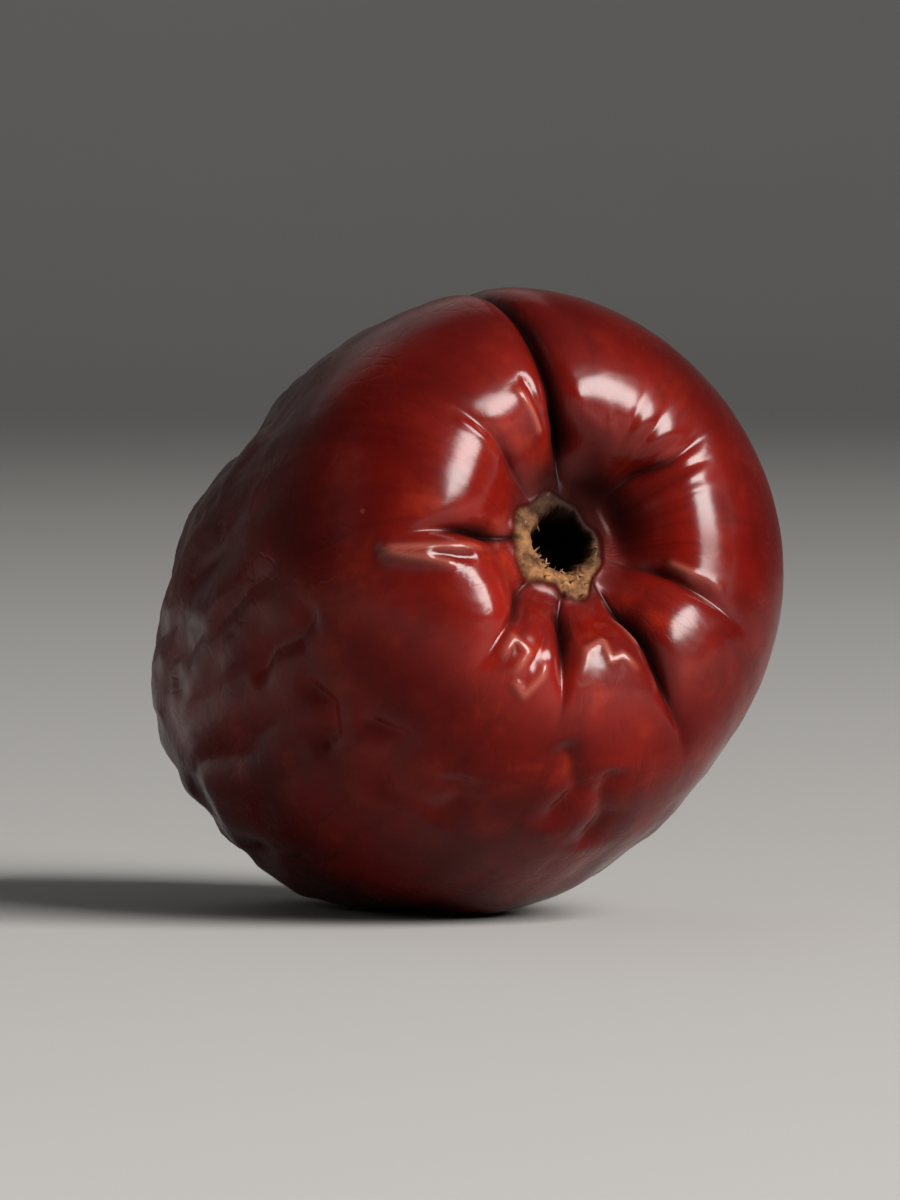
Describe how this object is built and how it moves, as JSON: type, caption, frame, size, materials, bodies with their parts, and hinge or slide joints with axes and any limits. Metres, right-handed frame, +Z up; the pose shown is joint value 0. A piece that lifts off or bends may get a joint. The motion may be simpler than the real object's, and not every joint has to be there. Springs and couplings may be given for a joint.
{
  "type": "jujube",
  "caption": "Dried red jujube: a wrinkled, glossy, egg-shaped fruit lying on its side, with a puckered stalk end, a corky ring round the stalk hole and a small blossom scar.",
  "frame": {"origin": "Under the middle of the fruit's bounding box, on the surface the fruit lies on.", "axes": "+Z is up, away from that surface. +Y runs along the fruit, from the stalk end at -Y to the blossom end at +Y. X runs across the fruit."},
  "size_m": [0.0212, 0.0296, 0.0239],
  "materials": {
    "skin": "glossy deep red dried skin"
  },
  "bodies": {
    "root": {"fruit": "skin"}
  },
  "joints": []
}
